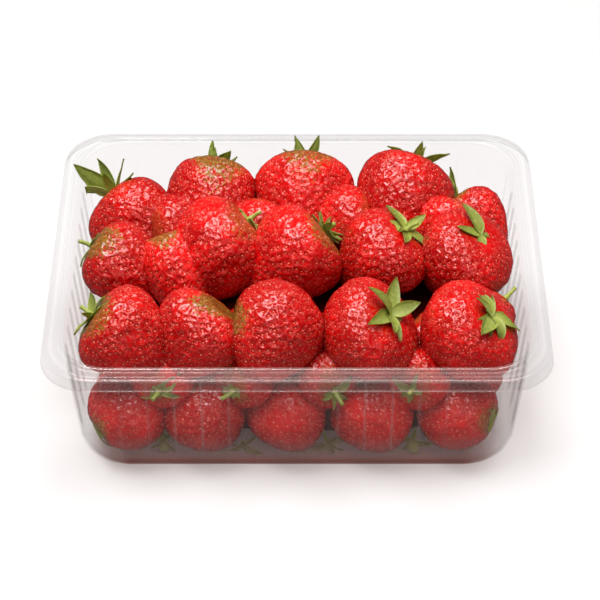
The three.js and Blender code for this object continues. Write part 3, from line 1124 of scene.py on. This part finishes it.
seed_material = seed_finish()
for piece in seed_pieces:
    piece.data.materials.append(seed_material)
crown_piece.data.materials.append(leaf_finish())
core.data.materials.append(core_shade_finish())
print(f"finishes: {sorted(material.name for material in bpy.data.materials)}")

# %% [markdown]
# ## Clear plastic
# The sheet is half a millimetre thick, so light goes nearly straight through
# it. A bending glass shader would darken what lies behind. Here the sheet is
# mostly see-through, with a faint milky veil, and it grows more solid where
# it is seen edge on or bends, as thin clear plastic does. The veil's colour is
# painted reflection: grey against the white floor, lighter and pink before the
# berries, and dark red at the foot, where the fruit is mirrored in it and its
# shade lies under it. It casts no shadow, since a half-clear mesh would throw
# too dark a one.


# %% Clear sheet
# Painted reflection: a grey veil against the white, a lighter pink one before the berries.
PAINTED_VEIL_ON_WHITE, PAINTED_VEIL_ON_FRUIT = (0.24, 0.24, 0.24), (0.58, 0.43, 0.41)
# Painted reflection of the fruit at the foot of the sheet, with painted shade under it.
PAINTED_REFLECTION_AND_SHADE_RED = (0.22, 0.035, 0.022)


def sheet_finish():
    shader = Shader("clear_sheet")
    facing = shader.node("ShaderNodeLayerWeight", {}, {"Blend": 0.35}, output="Facing")
    haze = shader.noise(35.0, 3.0)
    crease = shader.attribute("crease")
    fruit = shader.attribute("fruit")
    foot = shader.attribute("foot")
    alpha = 0.085 - 0.04 * fruit + 0.015 * haze + (0.07 + 0.08 * fruit) * facing ** 2.6
    alpha = alpha + (0.08 + 0.06 * fruit) * crease + 0.5 * foot
    # Painted reflection: grey against the white, lighter and pink before the berries, dark red
    # with painted shade at the foot.
    veil = shader.blend(fruit, PAINTED_VEIL_ON_WHITE, PAINTED_VEIL_ON_FRUIT)
    return shader.finish({
        "Base Color": shader.blend(foot, veil, PAINTED_REFLECTION_AND_SHADE_RED),
        "Metallic": (0.08 + 0.22 * fruit - 0.3 * foot).clamped(),
        "Roughness": 0.12 + 0.06 * haze,
        "IOR": 1.57,
        "Alpha": alpha.clamped(),
    })


tray.data.materials.append(sheet_finish())
tray.visible_shadow = False

# %% [markdown]
# ## Floor and light
# The studio is pale. A large soft light overhead gives the even red. It is
# hidden from reflections, where it would wash the red out. Three small lights
# make the wet glints, and a weak one fills the front. The floor glows a
# little, and warmly, so that the shadows on it stay soft and take the tone
# of light that has passed through fruit.


# %% Floor
FLOOR_HALF, FLOOR_DROP = 3000.0, 0.3
FLOOR_PALE, FLOOR_DIM = (0.36, 0.37, 0.375), (0.35, 0.36, 0.365)
FLOOR_PAINTED_GLOW = (1.0, 0.83, 0.78)


def pale_floor():
    signs = np.array([(-1, -1), (1, -1), (1, 1), (-1, 1)])
    points = np.column_stack([signs * FLOOR_HALF, np.full(4, -FLOOR_DROP)])
    made = make_object("floor", points, np.array([[0, 1, 2, 3]]), smooth=False)
    shader = Shader("pale_floor")
    faint = shader.noise(3.0, 2.0)
    made.data.materials.append(shader.finish({
        "Base Color": shader.blend(faint, FLOOR_PALE, FLOOR_DIM),
        "Roughness": 0.6,
        # Painted light: a warm glow that keeps the shadows on the floor soft and reddish.
        "Emission Color": FLOOR_PAINTED_GLOW,
        "Emission Strength": 0.32,
    }))
    return made


floor = pale_floor()
floor.visible_glossy = False


# %% Lights
LIGHT_AIM = Vector((0, 0, 0.03))
LIGHTS = {
    "overhead": ((0.0, 0.1, 1.2), (3.0, 1.2), 22.5),
    "key": ((-0.22, 0.05, 0.85), (0.4, 0.34), 6.2),
    "key_right": ((0.2, 0.25, 0.85), (0.3, 0.3), 3.2),
    "key_front": ((-0.05, -0.3, 0.85), (0.25, 0.25), 2.0),
    "front_fill": ((0.3, -0.9, 0.8), (0.8, 0.8), 1.5),
}
SURROUND = 0.12


def soft_light(name, place, size, power):
    data = bpy.data.lights.new(name, "AREA")
    data.shape = "RECTANGLE"
    data.size, data.size_y = size
    data.energy = power
    made = bpy.data.objects.new(name, data)
    made.location = place
    direction = LIGHT_AIM - Vector(place)
    made.rotation_euler = direction.to_track_quat("-Z", "Y").to_euler()
    bpy.context.scene.collection.objects.link(made)
    return made


lights = {name: soft_light(name, *numbers) for name, numbers in LIGHTS.items()}
lights["overhead"].visible_glossy = False
world = bpy.data.worlds.new("studio")
world.use_nodes = True
background = world.node_tree.nodes["Background"]
background.inputs["Color"].default_value = (1.0, 1.0, 1.0, 1.0)
background.inputs["Strength"].default_value = SURROUND
bpy.context.scene.world = world
bpy.context.scene.view_settings.view_transform = "Standard"
print(f"{len(lights)} lights")

# %% [markdown]
# ## Riding on the body
# Each piece rides on the one body. The berries, seeds, leaves and core stand for the
# CAD heap, and the tray sheet for the CAD tray; both CAD parts are hidden.

# %% Ride and replace
heap_pieces = [*berry_pieces, *seed_pieces, crown_piece, core]
for piece in heap_pieces:
    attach(piece, "root")
    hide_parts("strawberries")
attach(tray, "root")
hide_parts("tray")
